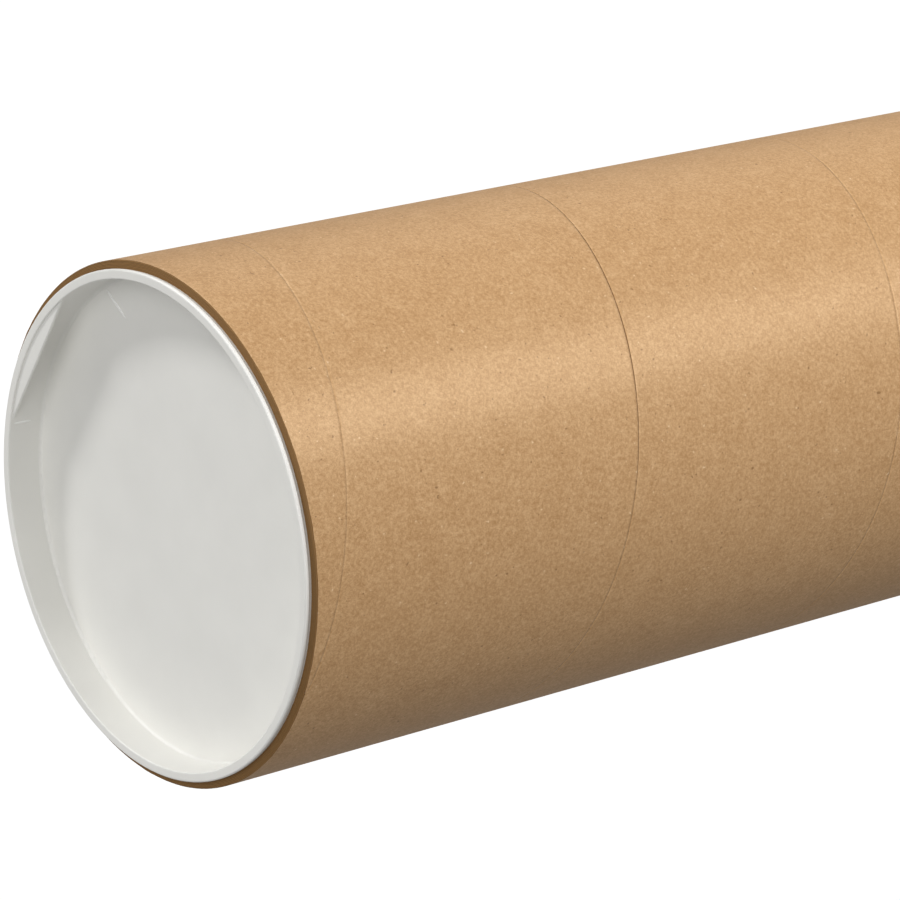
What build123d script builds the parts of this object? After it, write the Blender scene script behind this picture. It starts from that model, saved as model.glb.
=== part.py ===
"""Cardboard mailing tube: a spiral-wound kraft board tube with a push-in plastic cap in each end.

The tube stands on its lower cap. Z is the tube's axis, Z = 0 is the surface it stands on, and +X
points at the finger ledge of each cap. All sizes are in millimetres.
"""
import os

from build123d import *

# The tube is one length of parallel tube, cut square.
bore_diameter = 152.4
board_thickness = 3.2
tube_length = 610.0

# The cap is a thin-walled plug, open outwards, with a flange that stops on the cut board.
flange_reach = 0.75  # how far the flange reaches over the board, from the bore
flange_thickness = 1.2
flange_outer_round = 0.6
flange_inner_round = 0.4
collar_reach = 0.4  # the collar under the flange is what sits on the board
collar_height = 1.1
wall_clearance = 0.4  # between the plug's wall and the bore
wall_thickness = 1.8
recess_depth = 12.0  # from the top of the flange down to the floor
floor_thickness = 1.8
recess_corner_radius = 1.0

# Low round beads on the plug's wall take up the clearance, as a light running fit.
bead_clearance = 0.1
bead_count = 3
bead_pitch = 2.75
first_bead_depth = 2.5

# A flat ledge across one side of the recess gives a finger something to pull on.
ledge_depth = 4.8  # from the wall in to the ledge's straight edge
ledge_thickness = 1.0
ledge_drop = 0.6  # the ledge lies this far below the top of the flange
ledge_edge_round = 0.3

bore_radius = bore_diameter / 2
tube_radius = bore_radius + board_thickness
flange_radius = bore_radius + flange_reach
collar_radius = bore_radius + collar_reach
plug_radius = bore_radius - wall_clearance
recess_radius = plug_radius - wall_thickness
bead_radius = wall_clearance - bead_clearance
flange_top = collar_height + flange_thickness
floor_top = flange_top - recess_depth
floor_bottom = floor_top - floor_thickness
plug_corner_radius = recess_corner_radius + wall_thickness
chord_distance = recess_radius - ledge_depth

# A seat is the plane of the cut board at one end, with its normal pointing out of the tube.
lower_seat = Plane(origin=(0, 0, flange_top), x_dir=(1, 0, 0), z_dir=(0, 0, -1))
upper_seat = Plane(origin=(0, 0, flange_top + tube_length), x_dir=(1, 0, 0), z_dir=(0, 0, 1))


def make_cap(label, seat):
    """One end cap, pushed home so that its collar sits on the cut board at the seat plane."""
    outwards = Axis(seat.origin, seat.z_dir)
    with BuildPart() as cap:
        # The plug, the collar and the flange, as one solid turned block.
        for level, top, radius in (
            (floor_bottom, 0, plug_radius),
            (0, collar_height, collar_radius),
            (collar_height, flange_top, flange_radius),
        ):
            with BuildSketch(seat.offset(level)):
                Circle(radius)
            extrude(amount=top - level)
        fillet(cap.faces().sort_by(outwards)[0].edges(), plug_corner_radius)

        # The recess leaves an even wall and floor, with a round inside corner.
        with BuildSketch(seat.offset(flange_top)):
            Circle(recess_radius)
        extrude(amount=-recess_depth, mode=Mode.SUBTRACT)
        recess_floor = cap.faces().filter_by(outwards).sort_by(outwards)[1]
        fillet(recess_floor.edges(), recess_corner_radius)
        rim_edges = cap.faces().sort_by(outwards)[-1].edges().sort_by(SortBy.RADIUS)
        fillet(rim_edges[-1], flange_outer_round)
        fillet(rim_edges[0], flange_inner_round)

        # Beads round the outside of the plug.
        section = Plane(origin=seat.origin, x_dir=seat.x_dir, z_dir=-seat.y_dir)
        with BuildSketch(section):
            for number in range(bead_count):
                with Locations((plug_radius, -first_bead_depth - number * bead_pitch)):
                    Circle(bead_radius)
        revolve(axis=outwards)

        # The finger ledge fills the segment between the wall and a chord of the recess.
        ledge_top = flange_top - ledge_drop
        with BuildSketch(seat.offset(ledge_top)):
            Circle(recess_radius + wall_thickness / 2)
            with Locations((chord_distance, 0)):
                Rectangle(
                    plug_radius, 2 * plug_radius, align=(Align.MIN, Align.CENTER), mode=Mode.INTERSECT
                )
        extrude(amount=-ledge_thickness)
        ledge_edges = cap.edges().filter_by(GeomType.LINE).filter_by(Axis.Y)
        fillet(ledge_edges, ledge_edge_round)
    cap.part.label = label
    return cap


with BuildPart() as tube:
    with BuildSketch(Plane.XY.offset(flange_top)):
        Circle(tube_radius)
        Circle(bore_radius, mode=Mode.SUBTRACT)
    extrude(amount=tube_length)
tube.part.label = "tube"

bottom_cap = make_cap("bottom_cap", lower_seat)
top_cap = make_cap("top_cap", upper_seat)

os.makedirs("parts", exist_ok=True)
for piece in (tube, bottom_cap, top_cap):
    export_step(piece.part, f"parts/{piece.part.label}.step")
    size = piece.part.bounding_box().size
    volume = piece.part.volume / 1000
    print(f"{piece.part.label}: {volume:.1f} cm3, {size.X:.1f} x {size.Y:.1f} x {size.Z:.1f} mm")
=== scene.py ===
# %% [markdown]
# # A cardboard mailing tube
#
# The object is a length of spiral-wound kraft board tube with a white plastic plug cap pushed
# into each end. The CAD frame holds the true sizes, and this script gives every surface its
# looks: the wound paper with its seam, the cut edge of the board, and the moulded caps.
# Everything is in metres, in the frame's own place: the lower cap stands on Z = 0, the tube's
# axis is Z, and +X points at the finger ledge of both caps.

# %% Load the frame
import math

import bmesh
import bpy
from mathutils import Matrix, Vector, noise


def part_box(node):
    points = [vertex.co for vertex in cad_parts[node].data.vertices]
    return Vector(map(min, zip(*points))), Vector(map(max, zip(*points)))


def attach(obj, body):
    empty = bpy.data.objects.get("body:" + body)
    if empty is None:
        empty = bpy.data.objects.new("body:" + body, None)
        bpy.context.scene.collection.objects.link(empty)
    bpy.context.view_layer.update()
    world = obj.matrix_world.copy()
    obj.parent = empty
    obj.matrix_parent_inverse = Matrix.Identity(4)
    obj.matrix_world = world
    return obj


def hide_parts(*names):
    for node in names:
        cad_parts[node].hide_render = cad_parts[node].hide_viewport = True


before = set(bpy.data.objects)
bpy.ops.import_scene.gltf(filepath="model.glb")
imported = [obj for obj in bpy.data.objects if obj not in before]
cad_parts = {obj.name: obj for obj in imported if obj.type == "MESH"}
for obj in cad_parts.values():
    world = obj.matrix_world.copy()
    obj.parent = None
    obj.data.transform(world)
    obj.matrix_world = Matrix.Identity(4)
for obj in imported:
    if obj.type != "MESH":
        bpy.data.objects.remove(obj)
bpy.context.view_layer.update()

MM = 0.001
print("pieces in the frame:", sorted(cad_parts))

# %% [markdown]
# ## Sizes taken from the frame
#
# A looks model that copies numbers by hand drifts away from its CAD model, so the main radii and
# heights are read from the boxes of the CAD nodes. A box shows neither the thickness of the board
# nor the radius and depth of the cap's recess, so these three are repeated from the CAD model.
# Details that the CAD model leaves out, such as the paper's seam, get sizes of their own.

# %% Read the main sizes
BOARD_THICKNESS = 3.2 * MM
RECESS_RADIUS = 74.0 * MM
RECESS_DEPTH = 12.0 * MM
tube_low, tube_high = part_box("tube")
cap_low, cap_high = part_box("top_cap")
tube_radius = tube_high.x
bore_radius = tube_radius - BOARD_THICKNESS
tube_bottom, tube_top = tube_low.z, tube_high.z
print(f"tube {2000 * tube_radius:.1f} mm across, {1000 * (tube_top - tube_bottom):.0f} mm long")
print(f"cap {2000 * cap_high.x:.1f} mm across, plug {1000 * (tube_top - cap_low.z):.1f} mm deep")

# %% [markdown]
# ## Where things point round the tube
#
# The tube is round, so only three directions matter: the ledge at +X, the side that faces the
# camera, and the side that points up in the camera's view, which is turned on its side. Angles
# are measured counter-clockwise round +Z.

# %% Name the directions
FACING_ANGLE = math.radians(-125.1)


def around(angle):
    """Unit vector at an angle round Z."""
    return Vector((math.cos(angle), math.sin(angle), 0.0))


facing = around(FACING_ANGLE)
upper_side = around(FACING_ANGLE + math.pi / 2)
print("camera side:", tuple(round(value, 3) for value in facing))

# %% [markdown]
# ## Small helpers
#
# Every colour below is written as the sRGB hex value that a paint chart would give, and Blender
# works in linear light, so one function converts. The others add one node each with its settings
# and links in one call, which keeps a material as short as its description.

# %% Colour, node and object helpers


def srgb(code):
    """Linear RGBA of an sRGB hex colour such as c8a078."""
    channels = [int(code[start:start + 2], 16) / 255 for start in (0, 2, 4)]
    linear = [c / 12.92 if c <= 0.04045 else ((c + 0.055) / 1.055) ** 2.4 for c in channels]
    return (*linear, 1.0)


def fill(tree, node, **inputs):
    """Sets or links inputs, named with _ for a space, or numbered as in _0."""
    for name, value in inputs.items():
        socket = node.inputs[int(name[1:]) if name[1:].isdigit() else name.replace("_", " ")]
        if isinstance(value, bpy.types.NodeSocket):
            tree.links.new(value, socket)
        else:
            socket.default_value = value


def add_node(tree, kind, settings=None, **inputs):
    """Adds a node with its settings and its inputs."""
    node = tree.nodes.new(kind)
    for name, value in (settings or {}).items():
        setattr(node, name, value)
    fill(tree, node, **inputs)
    return node


def add_math(tree, operation, *values):
    """Result of one step of arithmetic."""
    inputs = {f"_{number}": value for number, value in enumerate(values)}
    return add_node(tree, "ShaderNodeMath", {"operation": operation}, **inputs).outputs["Value"]


def add_noise(tree, place, scale, detail, roughness):
    """Noise from 0 to 1. The scale is how many features fit in a metre."""
    return add_node(
        tree, "ShaderNodeTexNoise", Vector=place, Scale=scale, Detail=detail, Roughness=roughness,
    ).outputs["Fac"]


def mix_values(tree, share, first, second):
    """A number that goes from a first to a second as the share rises."""
    settings = {"data_type": "FLOAT"}
    return add_node(tree, "ShaderNodeMix", settings, _0=share, _2=first, _3=second).outputs[0]


def mix_colours(tree, share, first, second, blend="MIX"):
    """A second colour laid over a first by a share."""
    settings = {"data_type": "RGBA", "blend_type": blend}
    mixed = add_node(tree, "ShaderNodeMix", settings, _0=share, _6=first, _7=second)
    return mixed.outputs["Result"]


def add_bump(tree, height, strength, distance):
    """A normal shaken by a height."""
    return add_node(
        tree, "ShaderNodeBump", Height=height, Strength=strength, Distance=distance,
    ).outputs["Normal"]


def object_place(tree):
    """Object coordinates, which are metres in the frame."""
    return add_node(tree, "ShaderNodeTexCoord").outputs["Object"]


def new_material(name):
    """A material with a bare node tree and its shader, which is linked to the output."""
    material = bpy.data.materials.new(name)
    material.use_nodes = True
    tree = material.node_tree
    tree.nodes.clear()
    shader = add_node(tree, "ShaderNodeBsdfPrincipled")
    add_node(tree, "ShaderNodeOutputMaterial", Surface=shader.outputs[0])
    return material, tree, shader


def add_object(name, data):
    """An object in the scene that shows a mesh, a light or a camera."""
    made = bpy.data.objects.new(name, data)
    bpy.context.scene.collection.objects.link(made)
    return made


def finish_piece(name, mesh_tool, materials, body, node=None):
    """Turns a bmesh into a piece that rides on its body, and may stand for a CAD node."""
    mesh = bpy.data.meshes.new(name)
    mesh_tool.to_mesh(mesh)
    mesh_tool.free()
    for material in materials:
        mesh.materials.append(material)
    piece = add_object(name, mesh)
    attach(piece, body)
    if node:
        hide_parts(node)
    print(f"{name}: {len(mesh.polygons)} faces")


# %% [markdown]
# ## Kraft paper
#
# Kraft paper is unbleached brown paper: long wood fibres, pressed flat and a little polished
# where the winder's belt ran over the tube. It could be painted as one brown, but the eye knows
# paper by its cloudy fibre and its small dark and pale specks. Noises are laid over each other on
# Object coordinates: faint clouds of fibre about 8 mm wide, flocks of about 1 mm, a fine fibre
# grain of 0.4 mm, and sparse specks of bark and bleached fibre. Paper reflects like a plastic of
# IOR 1.5. The belt polished it along its own way, round the tube, so the reflection is
# anisotropic: the light spreads far along the tube and little round it, which draws a satin band
# down the tube's length.

# %% Kraft paper material
PAPER_NOISES = ((120.0, 2.0), (950.0, 2.0), (2600.0, 1.0))  # scale and detail
GRAIN_SHARE = 0.45  # of the grain in the flocks
CLOUD_SHARE = 0.13  # of the clouds in the whole
DARK_AT, MIDDLE_AT, PALE_AT = 0.36, 0.5, 0.64
SPECK_STRENGTH = 0.75
SPECKS = (  # noise scale, where a speck starts, where it is full, colour
    (620.0, 0.725, 0.77, "7a5632"),
    (340.0, 0.755, 0.80, "80592f"),
    (760.0, 0.725, 0.78, "e6caa4"),
)


def kraft_paper(name, middle, dark, pale):
    """Kraft paper whose fibre runs from a dark over a middle to a pale tone."""
    material, tree, shader = new_material(name)
    place = object_place(tree)
    clouds, flocks, grain = (
        add_noise(tree, place, scale, detail, 0.6) for scale, detail in PAPER_NOISES
    )
    fibre = mix_values(tree, GRAIN_SHARE, flocks, grain)
    cloudy_fibre = mix_values(tree, CLOUD_SHARE, fibre, clouds)
    ramp = add_node(tree, "ShaderNodeValToRGB", Fac=cloudy_fibre)
    tones = ramp.color_ramp.elements
    tones[0].position, tones[0].color = DARK_AT, srgb(dark)
    tones[1].position, tones[1].color = PALE_AT, srgb(pale)
    tones.new(MIDDLE_AT).color = srgb(middle)
    colour = ramp.outputs["Color"]
    for scale, start, full, code in SPECKS:
        speck = add_node(
            tree, "ShaderNodeMapRange", Value=add_noise(tree, place, scale, 1.5, 0.5),
            From_Min=start, From_Max=full, To_Max=SPECK_STRENGTH,
        )
        colour = mix_colours(tree, speck.outputs["Result"], colour, srgb(code))
    belt_way = add_node(tree, "ShaderNodeTangent", {"direction_type": "RADIAL", "axis": "Z"})
    fill(
        tree, shader, Base_Color=colour, Roughness=0.48, IOR=1.5,
        Normal=add_bump(tree, fibre, 0.35, 0.04 * MM), Tangent=belt_way.outputs["Tangent"],
        Specular_IOR_Level=1.0, Specular_Tint=srgb("ffe2bd"),
        Anisotropic=0.8, Anisotropic_Rotation=0.25,
    )
    return material


kraft = kraft_paper("kraft paper, calendered", "be966a", "ab8256", "d0aa7f")
liner = kraft_paper("kraft paper, inner liner", "b58f68", "a37c56", "c29d75")
print("made", kraft.name, "and", liner.name)

# %% [markdown]
# ## The cut edge of the board
#
# A saw or a knife cuts the tube to length, and the cut shows the plies end on. Cut kraft is much
# darker than its face, because light sinks in between the fibres, and the glue lines between the
# plies are darker still. The plies are rings, so the pattern is a wave of the distance from the
# axis, 0.4 mm for each ply, broken up by a fine noise. The gap of the seam gets the same pattern,
# in a brown darker than the paper's face and lighter than the sawn edge, because the light
# reaches its shallow floor: partly the real cut edges of the ribbon, partly painted shade of the
# gap.

# %% Cut board material
PLY_THICKNESS = 0.4 * MM
FRAY = 5.0  # how far the noise shifts the wave, in radians


def cut_board(name, face, glue):
    """Cut board, with the brown of its plies and the darker brown of its glue lines."""
    material, tree, shader = new_material(name)
    place = object_place(tree)
    flat = add_node(
        tree, "ShaderNodeVectorMath", {"operation": "MULTIPLY"}, _0=place, _1=(1.0, 1.0, 0.0),
    )
    radius = add_node(
        tree, "ShaderNodeVectorMath", {"operation": "LENGTH"}, _0=flat.outputs["Vector"],
    )
    ply_angle = add_math(
        tree, "MULTIPLY", radius.outputs["Value"], 2 * math.pi / PLY_THICKNESS,
    )
    frayed = add_math(
        tree, "MULTIPLY_ADD", add_noise(tree, place, 900.0, 3.0, 0.6), FRAY, ply_angle,
    )
    wave = add_node(
        tree, "ShaderNodeMapRange", Value=add_math(tree, "SINE", frayed), From_Min=-1.0,
    )
    fill(
        tree, shader, Roughness=0.85, IOR=1.45,
        Base_Color=mix_colours(tree, wave.outputs["Result"], srgb(glue), srgb(face)),
        Normal=add_bump(tree, frayed, 0.4, 0.02 * MM),
    )
    return material


board_edge = cut_board("kraft board, sawn edge", "96703f", "6a4b28")
# The seam gap's browns are partly the ribbon's real cut edges, partly painted shade of the gap.
seam_edges_and_painted_shade = cut_board("kraft board, seam gap with painted shade", "966c3e", "825c36")
print("made", board_edge.name, "and", seam_edges_and_painted_shade.name)

# %% [markdown]
# ## The wound tube
#
# The outer ply is a ribbon wound in a spiral, and its two edges meet in one long butt seam. A
# cylinder with a drawn line would miss the tiny gap that catches the light, so the skin is made
# the way the winder makes it: the ribbon's section is spun round the axis while it moves down it,
# one ribbon width for each turn. Neighbouring turns share their edge, so merging doubles closes
# the skin. The gap is not equally open all the way: it gapes along one stretch and is nearly shut
# elsewhere.

# %% Spiral seam sizes
SEAM_PITCH = 1.38 * tube_radius  # what the seam moves along the tube in one turn
SEAM_DROP = 1.565 * tube_radius  # from the tube's top down to the seam, on the camera side
GAP_WIDTH = 0.38 * MM
GAP_DEPTH = 0.16 * MM
GAP_SECTION = ((0.0, 1.0), (0.6, 1.0), (1.0, 0.0), (5.0, 0.0))  # in half widths and depths
SHUT = 0.01  # the share of the gap that stays where the seam is shut
GAPE_CENTRE = math.radians(24)
GAPE_SPREAD = math.radians(42)
GAPE_MEAN, GAPE_WANDER, WANDER_RATE = 0.85, 0.3, 40
TURN_STEPS = 192
MERGE_DISTANCE = 0.01 * MM
seam_reference = tube_top - SEAM_DROP
print(f"ribbon moves {1000 * SEAM_PITCH:.1f} mm a turn")

# %% Spin the ribbon


def openness(turn_angle):
    """How far the seam gapes, from 0 to 1, at an angle along the spiral from the camera side."""
    gape = math.exp(-((turn_angle - GAPE_CENTRE) / GAPE_SPREAD) ** 2)
    return SHUT + (1 - SHUT) * gape


def wound_skin():
    """The ribbon of outer ply, wound far enough to reach past both ends of the tube."""
    skin = bmesh.new()
    turns_above = math.ceil(SEAM_DROP / SEAM_PITCH) + 1
    turns = turns_above + math.ceil((seam_reference - tube_bottom) / SEAM_PITCH) + 1
    section = [(share * GAP_WIDTH / 2, depth * GAP_DEPTH) for share, depth in GAP_SECTION]
    far_edge = [(SEAM_PITCH - offset, depth) for offset, depth in reversed(section)]
    section += [(SEAM_PITCH * share, 0.0) for share in (0.25, 0.5, 0.75)] + far_edge
    start_z = seam_reference + turns_above * SEAM_PITCH
    column = [
        skin.verts.new((facing * (tube_radius - depth)) + Vector((0, 0, start_z - offset)))
        for offset, depth in section
    ]
    edges = [skin.edges.new(pair) for pair in zip(column, column[1:])]
    bmesh.ops.spin(
        skin, geom=column + edges, cent=(0, 0, 0), axis=(0, 0, 1), angle=turns * 2 * math.pi,
        dvec=(0, 0, -SEAM_PITCH / TURN_STEPS), steps=turns * TURN_STEPS,
    )
    bmesh.ops.remove_doubles(skin, verts=skin.verts, dist=MERGE_DISTANCE)
    return skin


def open_seam(skin):
    """Narrows the gap, and makes it shallower, where the seam is nearly shut."""
    for vert in skin.verts:
        angle = (math.atan2(vert.co.y, vert.co.x) - FACING_ANGLE) % (2 * math.pi)
        turn = (seam_reference - vert.co.z) / SEAM_PITCH - angle / (2 * math.pi)
        offset = (turn - round(turn)) * SEAM_PITCH
        if abs(offset) > GAP_WIDTH:
            continue
        turn_angle = 2 * math.pi * round(turn) + angle
        wander = noise.noise(Vector((WANDER_RATE * turn_angle, 0, 0)))
        gape = openness(turn_angle) * (GAPE_MEAN + GAPE_WANDER * wander)
        gape = min(max(gape, SHUT), 1.0)
        vert.co.z += offset * (1 - gape)
        flat = Vector((vert.co.x, vert.co.y, 0))
        depth = tube_radius - flat.length
        flat.length = tube_radius - depth * gape
        vert.co.x, vert.co.y = flat.x, flat.y


skin = wound_skin()
open_seam(skin)
print("skin:", len(skin.faces), "faces")

# %% [markdown]
# ## Squaring the ends and adding the bore
#
# The skin is cut square at both ends. A second cut just inside the first only adds a line of
# edges, which keeps the shading of the crushed corner from running along the wall. From each cut
# rim the board's end then grows inwards, ring by ring, as plies do: over the corner, across the
# sawn face and round the inner corner. The bore is one bridge between the two inner rims.

# %% Ends and bore
CORNER = 0.28 * MM
CORNER_MEAN, CORNER_WAVER = 0.75, 0.5  # how far the outer corner is crushed, in corners
RING_WAVER = 0.1 * CORNER
SAW_MARK = 0.05 * MM  # how deep the saw leaves the softer plies
SAW_WAVER = 0.8
PLY_RINGS = 6
SECOND_CUT = 3  # how far inside the first, in corners
NEAR_END = 2 * CORNER
CUT_TOLERANCE = 0.001 * MM
WAVER_RATES = ((220.0, 1.0), (900.0, 0.6))  # waves in a metre and their height


def waver(point):
    """A small unevenness that belongs to a place on the board, mostly between -1 and 1."""
    return sum(height * noise.noise(point * rate) for rate, height in WAVER_RATES)


def open_rim(mesh_tool, height):
    """The open edges at a height."""
    return [
        edge for edge in mesh_tool.edges
        if edge.is_boundary and all(abs(vert.co.z - height) < NEAR_END for vert in edge.verts)
    ]


def grow_ring(mesh_tool, rim, radius, height):
    """Extends a rim to a ring at a radius and a height, and gives the new rim back."""
    made = bmesh.ops.extrude_edge_only(mesh_tool, edges=rim)["geom"]
    for vert in (item for item in made if isinstance(item, bmesh.types.BMVert)):
        shake = waver(vert.co)
        flat = Vector((vert.co.x, vert.co.y, 0.0))
        flat.length = radius(shake)
        vert.co = Vector((flat.x, flat.y, height(shake)))
    return [item for item in made if isinstance(item, bmesh.types.BMEdge)]


def cut(mesh_tool, height, outwards, clear):
    """Cuts the board square at a height. What lies outwards goes if clear is set."""
    everything = mesh_tool.verts[:] + mesh_tool.edges[:] + mesh_tool.faces[:]
    bmesh.ops.bisect_plane(
        mesh_tool, geom=everything, dist=CUT_TOLERANCE,
        plane_co=(0, 0, height), plane_no=(0, 0, outwards), clear_outer=clear,
    )


face_outer, face_inner = tube_radius - CORNER, bore_radius + CORNER
inner_rims = []
for end, outwards in ((tube_top, 1), (tube_bottom, -1)):
    cut(skin, end, outwards, clear=True)
    cut(skin, end - SECOND_CUT * outwards * CORNER, outwards, clear=False)
    rim = open_rim(skin, end)
    for vert in {vert for edge in rim for vert in edge.verts}:
        vert.co.z -= outwards * CORNER * (CORNER_MEAN + CORNER_WAVER * waver(vert.co))
    for ring in range(PLY_RINGS + 1):
        radius = face_outer + (face_inner - face_outer) * ring / PLY_RINGS
        sunk = SAW_MARK * (ring % 2)
        rim = grow_ring(
            skin, rim,
            lambda shake, radius=radius: radius + RING_WAVER * shake,
            lambda shake, sunk=sunk: end - outwards * sunk * (1.0 + SAW_WAVER * shake),
        )
    rim = grow_ring(skin, rim, lambda shake: bore_radius, lambda shake: end - outwards * CORNER)
    inner_rims += rim
bmesh.ops.bridge_loops(skin, edges=inner_rims)
bmesh.ops.recalc_face_normals(skin, faces=skin.faces)
print("open edges left:", sum(edge.is_boundary for edge in skin.edges))

# %% Give each face its material
SKIN_SLOT, EDGE_SLOT, SEAM_SLOT, LINER_SLOT = range(4)
lowest_seam, highest_seam = tube_bottom + NEAR_END, tube_top - NEAR_END
middle_of_board = bore_radius + 0.5 * BOARD_THICKNESS
gap_wall = tube_radius - 0.2 * GAP_DEPTH
for face in skin.faces:
    middle = face.calc_center_median()
    radius = Vector(middle[:2]).length
    sawn = abs(face.normal.z) > 0.5
    face.smooth = not sawn
    if sawn:
        face.material_index = EDGE_SLOT
    elif radius < middle_of_board:
        face.material_index = LINER_SLOT
    # Faces sunk into the open gap get the seam's brown, partly painted shade of the gap.
    elif radius < gap_wall and lowest_seam < middle.z < highest_seam:
        face.material_index = SEAM_SLOT
    else:
        face.material_index = SKIN_SLOT
finish_piece(
    "wound_tube", skin, (kraft, board_edge, seam_edges_and_painted_shade, liner), "tube",
    node="tube",
)

# %% [markdown]
# ## Cap plastic
#
# The caps are low-density polyethylene, moulded white. It is a soft, waxy plastic: light goes a
# little way into it, so its shadows are mild, and its surface is a satin with faint flow marks.
# IOR 1.51 and a roughness near 0.4 are usual for it.

# %% White polyethylene material
FLOW_FROM, FLOW_TO = 0.3, 0.7  # the range of the flow marks' noise
TONES = (0.97, 1.0)
ROUGHNESSES = (0.36, 0.46)


def polyethylene(name, white):
    """Moulded polyethylene of a white that the flow marks darken a little."""
    material, tree, shader = new_material(name)
    place = object_place(tree)
    flow = add_noise(tree, place, 60.0, 4.0, 0.5)
    tone, roughness = (
        add_node(
            tree, "ShaderNodeMapRange", Value=flow, From_Min=FLOW_FROM, From_Max=FLOW_TO,
            To_Min=low, To_Max=high,
        ).outputs["Result"]
        for low, high in (TONES, ROUGHNESSES)
    )
    fine = add_noise(tree, place, 700.0, 2.0, 0.5)
    fill(
        tree, shader, Base_Color=mix_colours(tree, 1.0, srgb(white), tone, "MULTIPLY"),
        Roughness=roughness, IOR=1.51, Normal=add_bump(tree, fine, 0.12, 0.03 * MM),
        Subsurface_Weight=0.15, Subsurface_Radius=(1.0, 1.0, 1.0), Subsurface_Scale=1.5 * MM,
    )
    return material


cap_white = polyethylene("polyethylene, moulded white", "edece7")
for node in ("top_cap", "bottom_cap"):
    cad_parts[node].data.materials.clear()
    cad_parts[node].data.materials.append(cap_white)
print("made", cap_white.name)

# %% [markdown]
# ## Flow lines in the caps
#
# Where two fronts of molten plastic meet in the mould they leave a low ridge. Each cap has
# one on the floor of its recess, running inwards from the corner, and one down the wall at the
# end of the ledge. Both are low enough to be texture, yet they catch the light as shapes, so each
# is a ball stretched to a needle and sunk to its middle in the plastic. Their plastic is a whiter
# white than the cap's, a painted highlight for the light they catch. The lower cap is the same
# moulding turned over, so its ridges are the upper cap's turned half a turn about X.

# %% Flow lines
FLOW_WIDTH, FLOW_RISE = 0.80 * MM, 0.30 * MM
WALL_LINE_ANGLE = math.radians(147.0)  # from the camera side
WALL_LINE_START, WALL_LINE_END = 1.4 * MM, 8.0 * MM  # below the cap's top
BALL_SEGMENTS, BALL_RINGS = 24, 16
recess_floor = Vector((0, 0, cap_high.z - RECESS_DEPTH))
wall_point = around(FACING_ANGLE + WALL_LINE_ANGLE) * RECESS_RADIUS
FLOW_LINES = (  # start, end and the way the ridge rises
    (
        facing * -11.0 * MM + upper_side * 72.3 * MM + recess_floor,
        facing * -4.0 * MM + upper_side * 61.8 * MM + recess_floor,
        Vector((0, 0, 1)),
    ),
    (
        wall_point + Vector((0, 0, cap_high.z - WALL_LINE_START)),
        wall_point + Vector((0, 0, cap_high.z - WALL_LINE_END)),
        -wall_point.normalized(),
    ),
)


def flow_lines():
    """The needle-shaped ridges of one cap, in the upper cap's place."""
    ridges = bmesh.new()
    for start, end, rise in FLOW_LINES:
        along = (end - start).normalized()
        turn = Matrix((along, along.cross(rise), -rise)).transposed().to_4x4()
        size = Matrix.Diagonal(((end - start).length / 2, FLOW_WIDTH / 2, FLOW_RISE, 1.0))
        bmesh.ops.create_uvsphere(
            ridges, u_segments=BALL_SEGMENTS, v_segments=BALL_RINGS, radius=1.0,
            matrix=Matrix.Translation((start + end) / 2) @ turn @ size,
        )
    for face in ridges.faces:
        face.smooth = True
    bmesh.ops.recalc_face_normals(ridges, faces=ridges.faces)
    return ridges


upper_ridges, lower_ridges = flow_lines(), flow_lines()
turn_over = Matrix.Rotation(math.pi, 4, "X")
middle_height = Vector((0, 0, (tube_bottom + tube_top) / 2))
bmesh.ops.transform(
    lower_ridges, verts=lower_ridges.verts,
    matrix=Matrix.Translation(middle_height) @ turn_over @ Matrix.Translation(-middle_height),
)
# The ridges' whiter white is a painted highlight.
painted_highlight_white = polyethylene("polyethylene, white with painted highlight", "fbfbf8")
finish_piece("top_cap_flow_lines", upper_ridges, (painted_highlight_white,), "top_cap")
finish_piece("bottom_cap_flow_lines", lower_ridges, (painted_highlight_white,), "bottom_cap")

# %% [markdown]
# ## Floor, light and camera
#
# The object stands on a large pale floor. The camera looks down on the upper end, turned on its
# side, so the tube seems to lie across the view. A softbox stands low on the camera side and
# makes the satin band along the tube. A broad sun fills the cap from the camera side, and a
# smaller one, low over the cap, throws the rim's shadow on the floor of the recess. Seen by the
# camera, the floor and the sky get extra white, so the background is clean while the floor keeps
# its shadow.

# %% Floor
FLOOR_SIZE = 12.0
FLOOR_GLOW = 0.76  # what the camera alone sees on top of the floor's own light
WHITE = (1.0, 1.0, 1.0, 1.0)
floor_mesh = bmesh.new()
bmesh.ops.create_grid(floor_mesh, x_segments=1, y_segments=1, size=FLOOR_SIZE / 2)
floor_data = bpy.data.meshes.new("floor")
floor_mesh.to_mesh(floor_data)
floor_mesh.free()
floor = add_object("floor", floor_data)

floor_material, tree, shader = new_material("floor, matt white")
light_path = add_node(tree, "ShaderNodeLightPath")
glow = add_math(tree, "MULTIPLY", light_path.outputs["Is Camera Ray"], FLOOR_GLOW)
fill(
    tree, shader, Base_Color=srgb("a0a0a0"), Roughness=0.9,
    Emission_Color=WHITE, Emission_Strength=glow,
)
floor_data.materials.append(floor_material)
print("floor", FLOOR_SIZE, "m wide")

# %% Sky
SKY_LIGHT = 0.28
SKY_SEEN = 1.0
world = bpy.data.worlds.new("studio")
bpy.context.scene.world = world
world.use_nodes = True
tree = world.node_tree
tree.nodes.clear()
light_path = add_node(tree, "ShaderNodeLightPath")
seen = add_math(
    tree, "MAXIMUM",
    light_path.outputs["Is Camera Ray"], light_path.outputs["Is Transmission Ray"],
)
soft = add_node(tree, "ShaderNodeBackground", Color=WHITE, Strength=SKY_LIGHT)
white = add_node(tree, "ShaderNodeBackground", Color=WHITE, Strength=SKY_SEEN)
mixed = add_node(tree, "ShaderNodeMixShader", _0=seen, _1=soft.outputs[0], _2=white.outputs[0])
add_node(tree, "ShaderNodeOutputWorld", Surface=mixed.outputs[0])
print("sky set")

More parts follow.
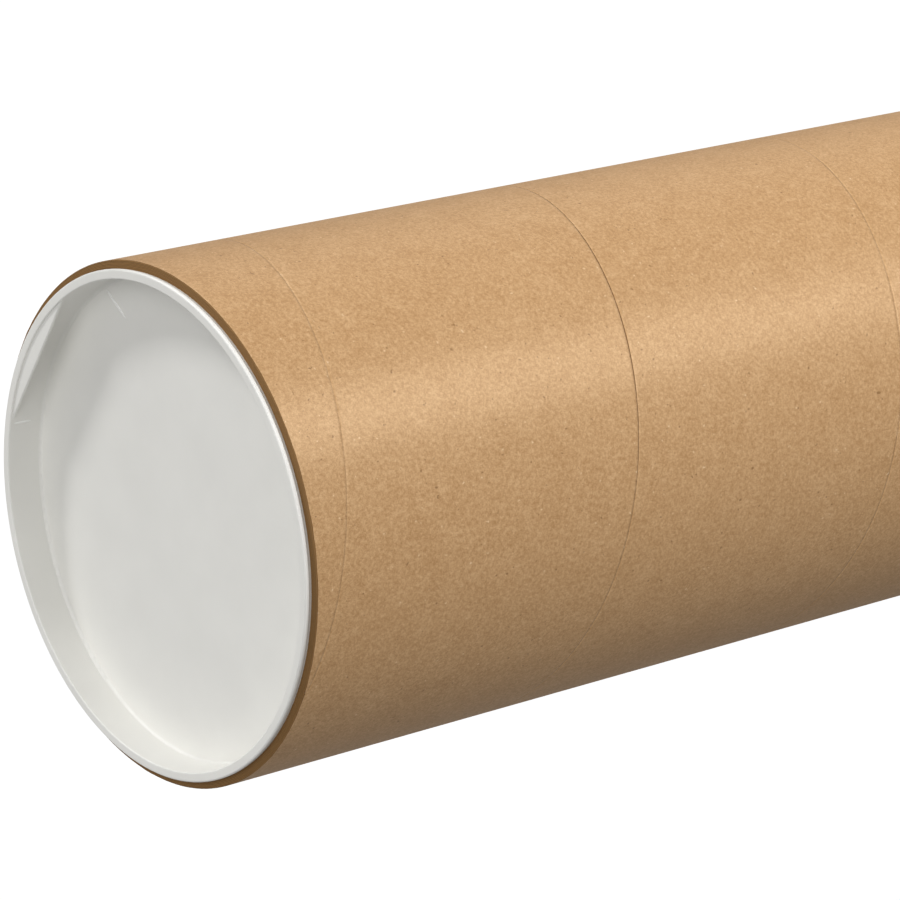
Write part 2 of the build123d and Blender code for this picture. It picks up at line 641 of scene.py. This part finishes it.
# %% Suns and softbox
SUNS = (  # name, shares towards the camera side, the view's top and +Z, strength, spread
    ("broad_sun", (0.55, 0.13, 0.82), 0.385, 50),
    ("rim_sun", (-0.20, 0.86, 0.43), 0.45, 12),
)
SOFTBOX_TURN = math.radians(24)  # from the camera side
SOFTBOX_REACH = 1.30  # from the tube's axis
SOFTBOX_HEIGHT = 0.17
SOFTBOX_AIM = 0.46  # the height on the axis that it faces
SOFTBOX_SIZE = (0.50, 0.30)
SOFTBOX_WATTS = 9.6


def add_lamp(name, data, way):
    """A lamp whose light comes from the given way."""
    lamp = add_object(name, data)
    lamp.rotation_euler = way.to_track_quat("Z", "Y").to_euler()
    return lamp


for name, (facing_share, upper_share, rise), strength, spread in SUNS:
    sun = bpy.data.lights.new(name, "SUN")
    sun.energy = strength * math.pi  # pi lights a facing surface at its own colour
    sun.angle = math.radians(spread)
    way = facing * facing_share + upper_side * upper_share + Vector((0, 0, rise))
    add_lamp(name, sun, way.normalized())

softbox_data = bpy.data.lights.new("softbox", "AREA")
softbox_data.shape = "RECTANGLE"
softbox_data.size, softbox_data.size_y = SOFTBOX_SIZE
softbox_data.energy = SOFTBOX_WATTS
softbox_place = around(FACING_ANGLE + SOFTBOX_TURN) * SOFTBOX_REACH
softbox_place += Vector((0, 0, SOFTBOX_HEIGHT))
softbox = add_lamp("softbox", softbox_data, softbox_place - Vector((0, 0, SOFTBOX_AIM)))
softbox.location = softbox_place
softbox.visible_camera = False
print("lights set:", len(SUNS), "suns and a softbox")

# %% Camera
CAMERA_REACH = 1.0688  # from the tube's axis
CAMERA_HEIGHT = 1.3074
CAMERA_AIM = (0.0017, -0.0010, 0.4993)
CAMERA_ROLL = math.radians(-103.16)
SENSOR_WIDTH, FOCAL_LENGTH = 36.0, 172.6  # in millimetres
camera_data = bpy.data.cameras.new("camera")
camera_data.sensor_width = SENSOR_WIDTH
camera_data.lens = FOCAL_LENGTH
camera = add_object("camera", camera_data)
bpy.context.scene.camera = camera
camera.location = facing * CAMERA_REACH + Vector((0, 0, CAMERA_HEIGHT))
forward = (Vector(CAMERA_AIM) - camera.location).normalized()
level = forward.to_track_quat("-Z", "Y").to_matrix()
camera.rotation_euler = (level @ Matrix.Rotation(CAMERA_ROLL, 3, "Z")).to_euler()
bpy.context.scene.view_settings.view_transform = "Standard"
print("camera at", tuple(round(value, 3) for value in camera.location))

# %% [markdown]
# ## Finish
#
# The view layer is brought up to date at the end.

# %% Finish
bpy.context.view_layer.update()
